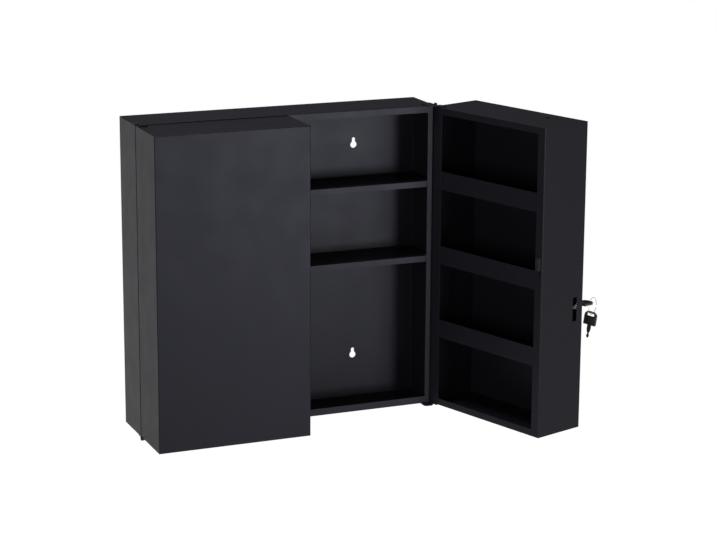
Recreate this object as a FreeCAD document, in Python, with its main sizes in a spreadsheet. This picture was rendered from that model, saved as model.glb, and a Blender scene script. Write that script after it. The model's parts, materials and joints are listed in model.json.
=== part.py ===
"""Wall-hung sheet-steel medicine cabinet with two deep box doors and a cam lock.

The frame has +X to the right, +Y into the wall and +Z up, with its origin at the centre of the
back face. The left door is shut and the right door stands open. Each door is drawn shut, in a
frame of its own whose Z axis is the hinge axis, and is then turned about that axis.
"""
import FreeCAD, Part
import math
import os
from dataclasses import dataclass
from types import SimpleNamespace

import Sketcher
from FreeCAD import Rotation, Vector

SIZES = {
    # Cabinet body
    "cabinet_width": 530,
    "cabinet_height": 528,
    "body_depth": 88,
    "sheet": 1,
    "bend_radius": 1.6,
    "body_flange": 12.5,
    "weld_gap": 0.1,
    "cut_overrun": 3,
    # Body shelves, at shares of the cabinet's height
    "upper_shelf_share": 0.752,
    "lower_shelf_share": 0.503,
    "shelf_lip": 10.5,
    # Keyholes in the back panel
    "keyhole_spacing_across": 303,
    "keyhole_spacing_up": 376,
    "keyhole_head_radius": 5.7,
    "keyhole_neck_radius": 2.8,
    "keyhole_rise": 9.7,
    # Door shells
    "door_depth": 99.5,
    "door_gap": 1.5,
    "centre_gap": 2,
    "hinge_side_flange": 20,
    "free_side_flange": 16,
    "end_flange": 12,
    "left_door_angle": 0,
    "right_door_angle": 108.4,
    "hanging_hole_radius": 5,
    "hanging_hole_inset": 62.8,
    "hanging_hole_setback": 29.6,
    # Door shelves, at shares of the door's height
    "low_door_shelf_share": 0.2325,
    "middle_door_shelf_share": 0.481,
    "high_door_shelf_share": 0.7295,
    "rail_height": 32,
    "shelf_tab": 12,
    # Corner hinges, with their axis inside the door's outer rear corner
    "hinge_inset": 1.1,
    "hinge_setback": 2.2,
    "eye_radius": 3.4,
    "pin_radius": 1.75,
    "pin_clearance": 0.04,
    "pin_head_radius": 3,
    "pin_head_height": 3,
    "body_plate_thickness": 1.5,
    "body_plate_width": 17,
    "body_plate_tail": 24,
    "body_plate_reach": 10.5,
    "body_plate_clip": 3,
    "door_plate_thickness": 1.4,
    "door_plate_width": 17,
    "door_plate_depth": 14,
    "plate_gap": 0.1,
    "hinge_clearance": 0.3,
    # Magnet catches on the doors, level with a strike on the lower shelf's post
    "catch_rise": 33.8,
    "catch_height": 21,
    "catch_width": 7.7,
    "catch_depth": 6,
    "catch_inset": 2.6,
    "catch_wall": 1.4,
    "catch_base": 0.8,
    "magnet_recess": 0.3,
    "strike_gap": 0.3,
    "strike_thickness": 1,
    "post_width": 26,
    "post_thickness": 1.5,
    "post_foot": 20,
    "post_margin": 4,
    "rivet_radius": 2,
    "rivet_clearance": 0.05,
    "rivet_head_radius": 3.5,
    "rivet_head_height": 1.6,
    "rivet_tail_radius": 3,
    "rivet_tail_height": 1,
    "rivet_spacing": 14,
    # Cam lock in the right door, measured from the outside of the door's front
    "lock_inset": 17,
    "lock_drop": 53.4,
    "lock_flange_radius": 11,
    "lock_flange_thickness": 4,
    "lock_flange_chamfer": 1,
    "barrel_radius": 8,
    "barrel_length": 17.6,
    "barrel_clearance": 0.1,
    "lock_nut_flat": 11,
    "lock_nut_thickness": 4,
    "plug_radius": 5,
    "plug_clearance": 0.05,
    "plug_head_radius": 6.6,
    "plug_head_depth": 2,
    "plug_recess": 0.3,
    "tang_width": 6,
    "tang_clearance": 0.1,
    "cam_gap": 0.4,
    "cam_thickness": 2,
    "cam_length": 25.5,
    "cam_width": 14,
    "cam_hub": 8,
    "cam_round": 6.4,
    "cam_slot_width": 9.4,
    "cam_slot_height": 40.7,
    "cam_screw_radius": 1.6,
    "cam_screw_length": 6,
    "cam_screw_head_radius": 4,
    "cam_screw_head_height": 2.4,
    "cam_screw_clearance": 0.1,
    # Keys and their ring
    "blade_width": 7,
    "blade_thickness": 2,
    "blade_length": 15,
    "shoulder_length": 8,
    "keyway_clearance": 0.15,
    "keyway_end_gap": 1,
    "key_seat_gap": 0.2,
    "bow_width": 23,
    "bow_length": 24,
    "bow_thickness": 4,
    "bow_round": 8,
    "bow_shoulder_round": 2,
    "bow_slot_length": 13,
    "bow_slot_width": 5.4,
    "bow_bar": 3,
    "ring_radius": 14.5,
    "ring_wire_radius": 0.6,
    "ring_tilt": 33,
    "ring_turn": 17,
    "ring_shift": 4,
    "ring_seat_gap": 0.5,
    "spare_shift": 2,
    "spare_lean": 8,
}

# Cuts along both edges of a key: the share of the blade's length, then of half its width
BITTING_SHARES = (
    (0.05, 1.0), (0.16, 0.74), (0.26, 0.8), (0.38, 0.44), (0.54, 0.34),
    (0.64, 0.58), (0.76, 0.66), (0.88, 0.56), (1.0, 0.26),
)
RING_WIRE_SIDES = 4
HALF_STEP_SHARE = 0.5
FULL_TURN = 360
ENDS = {"top": 1, "bottom": -1}
SIDES = {"left": -1, "right": 1}

doc = FreeCAD.newDocument("medicine_cabinet")
sheet = doc.addObject("Spreadsheet::Sheet", "Sizes")
for row, (alias, amount) in enumerate(SIZES.items(), start=1):
    sheet.set(f"A{row}", alias)
    sheet.set(f"B{row}", str(amount))
    sheet.setAlias(f"B{row}", alias)
doc.recompute()

nodes = []


class Size:
    """A length or an angle, known both as a number and as a formula on the sheet's cells."""

    def __init__(self, amount, text):
        self.amount = amount
        self.text = text

    @staticmethod
    def of(other):
        """Read a plain number as a size."""
        return other if isinstance(other, Size) else Size(float(other), str(other))

    def __add__(self, other):
        other = Size.of(other)
        return Size(self.amount + other.amount, f"({self.text} + {other.text})")

    def __sub__(self, other):
        other = Size.of(other)
        return Size(self.amount - other.amount, f"({self.text} - {other.text})")

    def __mul__(self, other):
        other = Size.of(other)
        return Size(self.amount * other.amount, f"({self.text} * {other.text})")

    def __truediv__(self, other):
        other = Size.of(other)
        return Size(self.amount / other.amount, f"({self.text} / {other.text})")

    def __neg__(self):
        return Size(-self.amount, f"(-{self.text})")

    def sin(self):
        """Sine of an angle in degrees."""
        return Size(math.sin(math.radians(self.amount)), f"sin({self.text})")

    def cos(self):
        """Cosine of an angle in degrees."""
        return Size(math.cos(math.radians(self.amount)), f"cos({self.text})")


s = SimpleNamespace(**{alias: Size(float(amount), f"Sizes.{alias}") for alias, amount in SIZES.items()})

door_shelf_shares = {
    "low": s.low_door_shelf_share,
    "middle": s.middle_door_shelf_share,
    "high": s.high_door_shelf_share,
}

# Sizes that follow from the driving ones
half_width = s.cabinet_width / 2
half_height = s.cabinet_height / 2
body_front = -s.body_depth
door_rear = body_front - s.door_gap
hinge_x = half_width - s.hinge_inset
hinge_y = door_rear - s.hinge_setback
door_front = s.hinge_setback - s.door_depth
door_width = half_width - s.centre_gap / 2
door_top = half_height - s.plate_gap - s.door_plate_thickness
upper_shelf_top = s.cabinet_height * s.upper_shelf_share - half_height
lower_shelf_top = s.cabinet_height * s.lower_shelf_share - half_height
strike_front = door_rear + s.catch_depth + s.strike_gap
post_front = strike_front + s.strike_thickness
catch_low = lower_shelf_top + s.catch_rise - s.catch_height / 2
catch_high = catch_low + s.catch_height
rivet_y = post_front + s.post_foot / 2
lock_u = door_width - s.lock_inset
lock_z = -s.lock_drop
cam_front = s.barrel_length + s.cam_gap
cam_middle = cam_front + s.cam_thickness / 2
key_seat = s.lock_flange_thickness + s.key_seat_gap
bow_start = key_seat + s.shoulder_length
bow_slot_middle = bow_start + s.bow_length - s.bow_bar - s.bow_slot_width / 2


def bind(item, path, size):
    """Tie one property of an object to a formula."""
    item.setExpression(path, Size.of(size).text)


def box(name, x, y, z):
    """Block between two places on each axis."""
    block = doc.addObject("Part::Box", name)
    for side, axis, (low, high) in zip(("Length", "Width", "Height"), "xyz", (x, y, z)):
        bind(block, side, Size.of(high) - low)
        bind(block, f"Placement.Base.{axis}", low)
    return block


def rod(name, radius, x, y, z, along="z"):
    """Round bar along one axis, where that axis has two places and the others have one."""
    bar = doc.addObject("Part::Cylinder", name)
    turns = {"x": Rotation(Vector(0, 1, 0), 90), "y": Rotation(Vector(1, 0, 0), -90), "z": Rotation()}
    bar.Placement.Rotation = turns[along]
    places = {"x": x, "y": y, "z": z}
    low, high = places[along]
    bind(bar, "Radius", radius)
    bind(bar, "Height", Size.of(high) - low)
    places[along] = low
    for axis, place in places.items():
        bind(bar, f"Placement.Base.{axis}", place)
    return bar


def fuse(name, *items):
    """Union of several objects."""
    union = doc.addObject("Part::MultiFuse", name)
    union.Shapes = list(items)
    return union


def cut(name, base, *tools):
    """Base without its tools."""
    rest = doc.addObject("Part::Cut", name)
    rest.Base = base
    rest.Tool = tools[0] if len(tools) == 1 else fuse(f"{name}_tools", *tools)
    return rest


def runs_along(edge, axis):
    """Whether a straight edge runs along an axis."""
    return abs(edge.tangentAt(edge.FirstParameter).dot(axis)) > 1 - Part.Precision.confusion()


def eased(kind, name, base, reach, wanted):
    """Base with a fillet or a chamfer on the edges that are wanted."""
    doc.recompute()
    soft = doc.addObject(kind, name)
    soft.Base = base
    soft.Edges = [
        (number, reach.amount, reach.amount)
        for number, edge in enumerate(base.Shape.Edges, start=1)
        if wanted(edge)
    ]
    return soft


def rounded(name, base, radius, wanted):
    """Base with a fillet on the edges that are wanted."""
    return eased("Part::Fillet", name, base, radius, wanted)


def clipped(name, base, reach, wanted):
    """Base with a chamfer on the edges that are wanted."""
    return eased("Part::Chamfer", name, base, reach, wanted)


def sketch(body, name, plane, offset):
    """Sketch on one of a body's own origin planes, with its own origin moved by an offset."""
    drawing = body.newObject("Sketcher::SketchObject", name)
    support = next(feature for feature in body.Origin.OriginFeatures if feature.Role == plane)
    drawing.AttachmentSupport = (support, [""])
    drawing.MapMode = "FlatFace"
    for axis, size in zip("xyz", offset):
        bind(drawing, f"AttachmentOffset.Base.{axis}", size)
    return drawing


def outline(drawing, corners):
    """Closed outline through corners that are pairs of sizes."""
    corners = [(Size.of(x), Size.of(y)) for x, y in corners]
    first = drawing.GeometryCount
    points = [Vector(x.amount, y.amount, 0) for x, y in corners]
    count = len(points)
    for index, start in enumerate(points):
        drawing.addGeometry(Part.LineSegment(start, points[(index + 1) % count]))
    for index in range(count):
        following = first + (index + 1) % count
        drawing.addConstraint(Sketcher.Constraint("Coincident", first + index, 2, following, 1))
    for index, corner in enumerate(corners):
        for kind, size in zip(("DistanceX", "DistanceY"), corner):
            rule = Sketcher.Constraint(kind, -1, 1, first + index, 1, size.amount)
            number = drawing.addConstraint(rule)
            bind(drawing, f"Constraints[{number}]", size)


def rectangle(x, y):
    """Corners of a rectangle between two places on each axis."""
    return [(x[0], y[0]), (x[1], y[0]), (x[1], y[1]), (x[0], y[1])]


def turned(name, plane, offset, corners, axis="V_Axis"):
    """Body of revolution about one axis of its sketch."""
    body = doc.addObject("PartDesign::Body", name)
    drawing = sketch(body, f"{name}_profile", plane, offset)
    outline(drawing, corners)
    spin = body.newObject("PartDesign::Revolution", f"{name}_spin")
    spin.Profile = drawing
    spin.ReferenceAxis = (drawing, [axis])
    spin.Angle = FULL_TURN
    return body


def padded(name, plane, offset, loops, thickness):
    """Body made by padding an outline and the loops inside it."""
    body = doc.addObject("PartDesign::Body", name)
    drawing = sketch(body, f"{name}_profile", plane, offset)
    for loop in loops:
        outline(drawing, loop)
    pad = body.newObject("PartDesign::Pad", f"{name}_pad")
    pad.Profile = drawing
    bind(pad, "Length", thickness)
    return body


def soften(body, radius, wanted):
    """Fillet the wanted edges of a body's last feature."""
    doc.recompute()
    base = body.Tip
    names = [f"Edge{number}" for number, edge in enumerate(base.Shape.Edges, start=1) if wanted(edge)]
    soft = body.newObject("PartDesign::Fillet", f"{base.Name}_round")
    soft.Base = (base, names)
    bind(soft, "Radius", radius)


def keep(item):
    """Count an object among the sub-parts that are written out."""
    nodes.append(item)
    return item


def between(end, low, high):
    """Span of heights, mirrored for the bottom end."""
    return (low, high) if end > 0 else (-high, -low)


@dataclass
class Door:
    """One door, with its hinge axis on local Z."""

    name: str
    side: int
    angle: Size

    def across(self, near, far):
        """Span between two distances from the hinge side."""
        ends = (self.inward(far), self.inward(near))
        return ends if self.side > 0 else ends[::-1]

    def inward(self, distance):
        """Place at one distance from the hinge side."""
        return (s.hinge_inset - distance) * self.side

    def forward(self, near, far):
        """Span between two distances in front of the door's rear plane."""
        return (s.hinge_setback - far, s.hinge_setback - near)

    def place(self, item):
        """Turn and move an object from the door's frame to the cabinet's frame."""
        bind(item, "Placement.Base.x", hinge_x * self.side)
        bind(item, "Placement.Base.y", hinge_y)
        bind(item, "Placement.Rotation.Angle", self.angle * self.side)
        return keep(item)


def carcass():
    """Folded wrapper: four walls, a front return flange and a notch for each hinge."""

    def is_bend(edge):
        at_front = abs(edge.CenterOfMass.y - body_front.amount) < s.sheet.amount
        return at_front or runs_along(edge, Vector(0, 1, 0))

    outer = box("carcass_outer", (-half_width, half_width), (body_front, 0), (-half_height, half_height))
    inner_x = half_width - s.sheet
    inner_z = half_height - s.sheet
    behind_front = (body_front + s.sheet, s.cut_overrun)
    core = box("carcass_core", (-inner_x, inner_x), behind_front, (-inner_z, inner_z))
    mouth_x = half_width - s.body_flange
    mouth_z = half_height - s.body_flange
    mouth = box(
        "carcass_mouth", (-mouth_x, mouth_x), (body_front - s.cut_overrun, body_front + s.cut_overrun),
        (-mouth_z, mouth_z),
    )
    notches = [
        rod(
            f"carcass_notch_{side}_{end}", s.eye_radius + s.hinge_clearance,
            hinge_x * SIDES[side], hinge_y,
            between(ENDS[end], door_top - s.hinge_clearance, half_height + s.cut_overrun),
        )
        for side in SIDES
        for end in ENDS
    ]
    skin = rounded("carcass_skin", outer, s.bend_radius, is_bend)
    keep(cut("carcass", skin, core, mouth, *notches))


def back_panel():
    """Flat panel inside the rear of the wrapper, with four keyholes to hang it by."""
    reach_x = half_width - s.sheet - s.weld_gap
    reach_z = half_height - s.sheet - s.weld_gap
    plate = box("back_panel_plate", (-reach_x, reach_x), (-s.sheet, 0), (-reach_z, reach_z))
    through = (-s.sheet - s.cut_overrun, s.cut_overrun)
    tools = []
    for side in SIDES:
        for end in ENDS:
            name = f"keyhole_{side}_{end}"
            x = s.keyhole_spacing_across / 2 * SIDES[side]
            head_z = s.keyhole_spacing_up / 2 * ENDS[end]
            neck_z = head_z + s.keyhole_rise
            neck_x = (x - s.keyhole_neck_radius, x + s.keyhole_neck_radius)
            tools.append(rod(f"{name}_head", s.keyhole_head_radius, x, through, head_z, along="y"))
            tools.append(rod(f"{name}_neck", s.keyhole_neck_radius, x, through, neck_z, along="y"))
            tools.append(box(f"{name}_slot", neck_x, through, (head_z, neck_z)))
    keep(cut("back_panel", plate, *tools))


def body_shelf(name, top, *holes):
    """Full-width shelf with all four edges turned down."""
    reach = half_width - s.sheet - s.weld_gap
    front = body_front + s.sheet + s.weld_gap
    rear = -s.sheet - s.weld_gap
    blank = box(f"{name}_blank", (-reach, reach), (front, rear), (top - s.shelf_lip, top))
    skin = rounded(f"{name}_skin", blank, s.bend_radius, lambda edge: runs_along(edge, Vector(0, 0, 1)))
    hollow = box(
        f"{name}_hollow", (-reach + s.sheet, reach - s.sheet), (front + s.sheet, rear - s.sheet),
        (top - s.shelf_lip - s.cut_overrun, top - s.sheet),
    )
    keep(cut(name, skin, hollow, *holes))


def rivet_holes(name, low, high):
    """Two rod cutters where the catch post is riveted to the lower shelf."""
    return [
        rod(
            f"{name}_{side}_rivet_hole", s.rivet_radius + s.rivet_clearance,
            s.rivet_spacing / 2 * SIDES[side], rivet_y, (low - s.cut_overrun, high + s.cut_overrun),
        )
        for side in SIDES
    ]


def catch_post():
    """Angle bracket behind the meeting doors, its two rivets and the strike plate on it."""
    half = s.post_width / 2
    foot_top = lower_shelf_top + s.post_thickness
    foot = box(
        "catch_post_foot", (-half, half), (post_front, post_front + s.post_foot), (lower_shelf_top, foot_top)
    )
    upright = box(
        "catch_post_upright", (-half, half), (post_front, post_front + s.post_thickness),
        (lower_shelf_top, catch_high + s.post_margin),
    )
    keep(cut("catch_post", fuse("catch_post_angle", foot, upright), *rivet_holes("post", foot_top, foot_top)))
    keep(box("strike_plate", (-half, half), (strike_front, post_front), (catch_low, catch_high)))
    shelf_under = lower_shelf_top - s.sheet
    for side in SIDES:
        name = f"post_rivet_{side}"
        x = s.rivet_spacing / 2 * SIDES[side]
        head_z = (foot_top, foot_top + s.rivet_head_height)
        tail_z = (shelf_under - s.rivet_tail_height, shelf_under)
        head = rod(f"{name}_head", s.rivet_head_radius, x, rivet_y, head_z)
        shank = rod(f"{name}_shank", s.rivet_radius, x, rivet_y, (shelf_under, foot_top))
        tail = rod(f"{name}_tail", s.rivet_tail_radius, x, rivet_y, tail_z)
        keep(fuse(name, head, shank, tail))


def body_hinge(side_name, end_name):
    """Hinge plate welded to the top or bottom of the body, and the headed pin fixed in its eye."""
    side = SIDES[side_name]
    end = ENDS[end_name]
    name = f"{side_name}_{end_name}_hinge"
    axis_x = hinge_x * side
    plate_top = half_height + s.body_plate_thickness
    span_z = between(end, half_height, plate_top)
    span_x = (axis_x - s.body_plate_width, axis_x) if side > 0 else (axis_x, axis_x + s.body_plate_width)
    span_y = (hinge_y - s.body_plate_reach, hinge_y + s.body_plate_tail)
    blank = box(f"{name}_plate_blank", span_x, span_y, span_z)
    plate = clipped(
        f"{name}_plate_tongue", blank, s.body_plate_clip, lambda edge: runs_along(edge, Vector(0, 0, 1))
    )
    eye = rod(f"{name}_plate_eye", s.eye_radius, axis_x, hinge_y, span_z)
    through = between(end, half_height - s.cut_overrun, plate_top + s.cut_overrun)
    hole = rod(f"{name}_plate_hole", s.pin_radius + s.pin_clearance, axis_x, hinge_y, through)
    keep(cut(f"{name}_plate", fuse(f"{name}_plate_lug", plate, eye), hole))

    head_top = plate_top + s.pin_head_height
    profile = [
        (0, (door_top + s.plate_gap) * end),
        (s.pin_radius, (door_top + s.plate_gap) * end),
        (s.pin_radius, plate_top * end),
        (s.pin_head_radius, plate_top * end),
        (s.pin_head_radius, head_top * end),
        (0, head_top * end),
    ]
    pin = turned(f"{name}_pin", "XZ_Plane", (0, 0, 0), profile)
    bind(pin, "Placement.Base.x", axis_x)
    bind(pin, "Placement.Base.y", hinge_y)
    keep(pin)


def door_shell(door, *holes):
    """Folded door box: front, four walls and return flanges round the open rear."""
    name = f"{door.name}_door_shell"
    outer = box(
        f"{name}_outer", door.across(0, door_width), door.forward(0, s.door_depth), (-door_top, door_top)
    )
    core = box(
        f"{name}_core", door.across(s.sheet, door_width - s.sheet),
        door.forward(s.sheet, s.door_depth - s.sheet), (-door_top + s.sheet, door_top - s.sheet),
    )
    mouth = box(
        f"{name}_mouth", door.across(s.hinge_side_flange, door_width - s.free_side_flange),
        door.forward(-s.cut_overrun, s.cut_overrun), (-door_top + s.end_flange, door_top - s.end_flange),
    )
    hanging_hole = rod(
        f"{name}_hanging_hole", s.hanging_hole_radius, door.inward(door_width - s.hanging_hole_inset),
        door_front + s.hanging_hole_setback, (door_top - s.cut_overrun, door_top + s.cut_overrun),
    )
    slot_middle = door_front + cam_middle
    cam_slot = box(
        f"{name}_cam_slot", door.across(door_width - s.cut_overrun, door_width + s.cut_overrun),
        (slot_middle - s.cam_slot_width / 2, slot_middle + s.cam_slot_width / 2),
        (lock_z - s.cam_slot_height / 2, lock_z + s.cam_slot_height / 2),
    )
    skin = rounded(f"{name}_skin", outer, s.bend_radius, lambda edge: not runs_along(edge, Vector(0, 1, 0)))
    door.place(cut(name, skin, core, mouth, hanging_hole, cam_slot, *holes))


def door_shelf(door, level):
    """Door shelf with its ends turned up a little and its rear edge raised into a rail."""

    def is_rail_end(edge):
        return runs_along(edge, Vector(0, 0, 1)) and edge.CenterOfMass.y > -s.door_depth.amount / 2

    name = f"{door.name}_door_shelf_{level}"
    low = door_top * 2 * door_shelf_shares[level] - door_top
    margin = s.sheet + s.weld_gap
    far = door_width - margin
    front = s.door_depth - margin
    above = low + s.rail_height + s.cut_overrun
    blank = box(
        f"{name}_blank", door.across(margin, far), door.forward(margin, front), (low, low + s.rail_height)
    )
    skin = rounded(f"{name}_skin", blank, s.bend_radius, is_rail_end)
    ahead = door.forward(margin + s.sheet, front + s.cut_overrun)
    within = door.across(margin + s.sheet, far - s.sheet)
    hollow = box(f"{name}_hollow", within, ahead, (low + s.sheet, above))
    relief = box(
        f"{name}_relief", door.across(margin - s.cut_overrun, far + s.cut_overrun), ahead,
        (low + s.shelf_tab, above),
    )
    door.place(cut(name, skin, hollow, relief))


def door_hinge_plate(door, end_name):
    """Plate welded to the top or bottom of a door, whose eye turns on the hinge pin."""
    end = ENDS[end_name]
    name = f"{door.name}_door_{end_name}_hinge_plate"
    span_z = between(end, door_top, door_top + s.door_plate_thickness)
    tongue = box(
        f"{name}_tongue", door.across(0, s.door_plate_width), door.forward(0, s.door_plate_depth), span_z
    )
    eye = rod(f"{name}_eye", s.eye_radius, 0, 0, span_z)
    through = between(end, door_top - s.cut_overrun, door_top + s.cut_overrun)
    hole = rod(f"{name}_hole", s.pin_radius + s.pin_clearance, 0, 0, through)
    door.place(cut(name, fuse(f"{name}_lug", tongue, eye), hole))


def magnet_catch(door):
    """Three-sided catch housing on the free rear flange of a door, and the magnet in it."""
    name = f"{door.name}_catch_housing"
    far = door_width - s.catch_inset
    near = far - s.catch_width
    base = s.hinge_setback + s.catch_base
    rear = s.hinge_setback + s.catch_depth
    shell = box(f"{name}_block", door.across(near, far), (s.hinge_setback, rear), (catch_low, catch_high))
    pocket_z = (catch_low + s.catch_wall, catch_high - s.catch_wall)
    pocket = box(
        f"{name}_pocket", door.across(near - s.cut_overrun, far - s.catch_wall),
        (base, rear + s.cut_overrun), pocket_z,
    )
    door.place(cut(name, shell, pocket))
    door.place(
        box_in_frame(
            f"{door.name}_magnet", door.across(near, far - s.catch_wall),
            (base, rear - s.magnet_recess), pocket_z,
        )
    )


def box_in_frame(name, x, y, z):
    """Block whose own placement is left free, for turning with a door."""
    return padded(name, "XY_Plane", (0, 0, z[0]), [rectangle(x, y)], z[1] - z[0])


def lock_offset(door):
    """Places of the lock's axis in the door's frame, with the outside of the door's front as zero depth."""
    return (door.inward(lock_u), door_front, lock_z)


def lock_hole(door):
    """Cutter for the lock's hole in the door's front."""
    x, y, z = lock_offset(door)
    span = (y - s.cut_overrun, y + s.cut_overrun)
    return rod("lock_hole", s.barrel_radius + s.barrel_clearance, x, span, z, along="y")


def lock_barrel(door):
    """Flanged barrel with a stepped bore for the plug, and the hexagon nut that clamps it."""
    bore = s.plug_radius + s.plug_clearance
    head_bore = s.plug_head_radius + s.plug_clearance
    step = s.plug_head_depth - s.lock_flange_thickness
    rim = s.lock_flange_radius - s.lock_flange_chamfer
    profile = [
        (head_bore, -s.lock_flange_thickness),
        (rim, -s.lock_flange_thickness),
        (s.lock_flange_radius, -s.lock_flange_thickness + s.lock_flange_chamfer),
        (s.lock_flange_radius, 0),
        (s.barrel_radius, 0),
        (s.barrel_radius, s.barrel_length),
        (bore, s.barrel_length),
        (bore, step),
        (head_bore, step),
    ]
    door.place(turned("lock_barrel", "XY_Plane", lock_offset(door), profile))

    x, y, z = lock_offset(door)
    nut = doc.addObject("Part::Prism", "lock_nut_hexagon")
    nut.Polygon = 6
    nut.Placement.Rotation = Rotation(Vector(1, 0, 0), -90)
    bind(nut, "Circumradius", s.lock_nut_flat / Size(math.cos(math.pi / nut.Polygon), "cos(30)"))
    bind(nut, "Height", s.lock_nut_thickness)
    for axis, size in zip("xyz", (x, y + s.sheet, z)):
        bind(nut, f"Placement.Base.{axis}", size)
    span = (y, y + s.sheet + s.lock_nut_thickness + s.cut_overrun)
    hole = rod("lock_nut_hole", s.barrel_radius + s.barrel_clearance, x, span, z, along="y")
    door.place(cut("lock_nut", nut, hole))


def lock_plug(door):
    """Turning plug with a keyway, a square tang for the cam and a hole for the cam's screw."""
    face = s.plug_recess - s.lock_flange_thickness
    step = s.plug_head_depth - s.lock_flange_thickness - s.plug_clearance
    profile = [
        (0, face),
        (s.plug_head_radius, face),
        (s.plug_head_radius, step),
        (s.plug_radius, step),
        (s.plug_radius, cam_front - s.cam_gap / 2),
        (0, cam_front - s.cam_gap / 2),
    ]
    turning = turned("lock_plug_turning", "XY_Plane", lock_offset(door), profile)
    x, y, z = lock_offset(door)
    half_tang = s.tang_width / 2
    tang_end = y + cam_front + s.cam_thickness
    tang = box(
        "lock_plug_tang", (x - half_tang, x + half_tang), (y + cam_front - s.cam_gap, tang_end),
        (z - half_tang, z + half_tang),
    )
    half_way = s.blade_width / 2 + s.keyway_clearance
    half_rise = s.blade_thickness / 2 + s.keyway_clearance
    keyway = box(
        "lock_plug_keyway", (x - half_way, x + half_way),
        (y + face - s.cut_overrun, y - key_seat + s.blade_length + s.keyway_end_gap),
        (z - half_rise, z + half_rise),
    )
    screw_hole = rod(
        "lock_plug_screw_hole", s.cam_screw_radius + s.cam_screw_clearance, x,
        (tang_end - s.cam_screw_length, tang_end + s.cut_overrun), z, along="y",
    )
    door.place(cut("lock_plug", fuse("lock_plug_solid", turning, tang), keyway, screw_hole))


def lock_cam(door):
    """Cam that hangs down when unlocked and turns through both doors' slots, and its screw."""
    x, y, z = lock_offset(door)
    half = s.cam_width / 2
    half_hole = s.tang_width / 2 + s.tang_clearance
    loops = [
        rectangle((-half, half), (-s.cam_length, s.cam_hub)),
        rectangle((-half_hole, half_hole), (-half_hole, half_hole)),
    ]
    rear = y + cam_front + s.cam_thickness
    cam = padded("lock_cam", "XZ_Plane", (x, z, -rear), loops, s.cam_thickness)

    def is_outer_corner(edge):
        aside = abs(edge.CenterOfMass.x - x.amount) > half_hole.amount + s.tang_clearance.amount
        return aside and runs_along(edge, Vector(0, 1, 0))

    soften(cam, s.cam_round, is_outer_corner)
    door.place(cam)
    seat = cam_front + s.cam_thickness
    profile = [
        (0, seat - s.cam_screw_length + s.cam_gap),
        (s.cam_screw_radius, seat - s.cam_screw_length + s.cam_gap),
        (s.cam_screw_radius, seat),
        (s.cam_screw_head_radius, seat),
        (s.cam_screw_head_radius, seat + s.cam_screw_head_height),
        (0, seat + s.cam_screw_head_height),
    ]
    door.place(turned("cam_screw", "XY_Plane", lock_offset(door), profile))


def blade_outline():
    """Blade seen flat, with its seat at zero, its tip along +Y and both its edges bitted."""
    half = s.blade_width / 2
    cuts = [
        (half * width_share, s.blade_length * length_share) for length_share, width_share in BITTING_SHARES
    ]
    opposite = [(-x, y) for x, y in reversed(cuts)]
    return [(-half, -s.shoulder_length), (half, -s.shoulder_length), *cuts, *opposite]


def bow_loops():
    """Outline and ring slot of a bow seen flat, with the blade's root at zero and the bow along -Y."""
    half = s.bow_width / 2
    half_slot = s.bow_slot_length / 2
    slot_end = s.bow_length - s.bow_bar
    return [
        rectangle((-half, half), (-s.bow_length, 0)),
        rectangle((-half_slot, half_slot), (-slot_end, -slot_end + s.bow_slot_width)),
    ]


def soften_bow(body, along, flat):
    """Round the outer corners of a bow, more at its free end than at the blade.

    flat gives a point's distances from the bow's middle line and from the blade's root.
    """
    half = s.bow_width.amount / 2

    def outer(edge):
        return runs_along(edge, along) and abs(flat(edge.CenterOfMass)[0]) > half - s.bow_bar.amount / 2

    def at_free_end(edge):
        return outer(edge) and abs(flat(edge.CenterOfMass)[1]) > s.bow_length.amount / 2

    def at_blade(edge):
        return outer(edge) and not at_free_end(edge)

    soften(body, s.bow_round, at_free_end)
    soften(body, s.bow_shoulder_round, at_blade)


def key(door):
    """Key in the lock, lying flat: a bitted blade and a moulded bow."""
    x, y, z = lock_offset(door)
    seat_y = y - key_seat
    low = z - s.blade_thickness / 2
    door.place(padded("key_blade", "XY_Plane", (x, seat_y, low), [blade_outline()], s.blade_thickness))
    bow_low = z - s.bow_thickness / 2
    root_y = seat_y - s.shoulder_length
    bow = padded("key_bow", "XY_Plane", (x, root_y, bow_low), bow_loops(), s.bow_thickness)
    soften_bow(bow, Vector(0, 0, 1), lambda point: (point.x - x.amount, point.y - root_y.amount))
    door.place(bow)


def hang(door, item, x, y, z):
    """Place a hanging piece at a point of the door's frame, turned with the ring."""
    turn = door.angle
    bind(item, "Placement.Base.x", hinge_x * door.side + x * turn.cos() - y * turn.sin())
    bind(item, "Placement.Base.y", hinge_y + x * turn.sin() + y * turn.cos())
    bind(item, "Placement.Base.z", z)
    bind(item, "Placement.Rotation.Angle", turn + s.ring_turn)
    keep(item)


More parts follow.
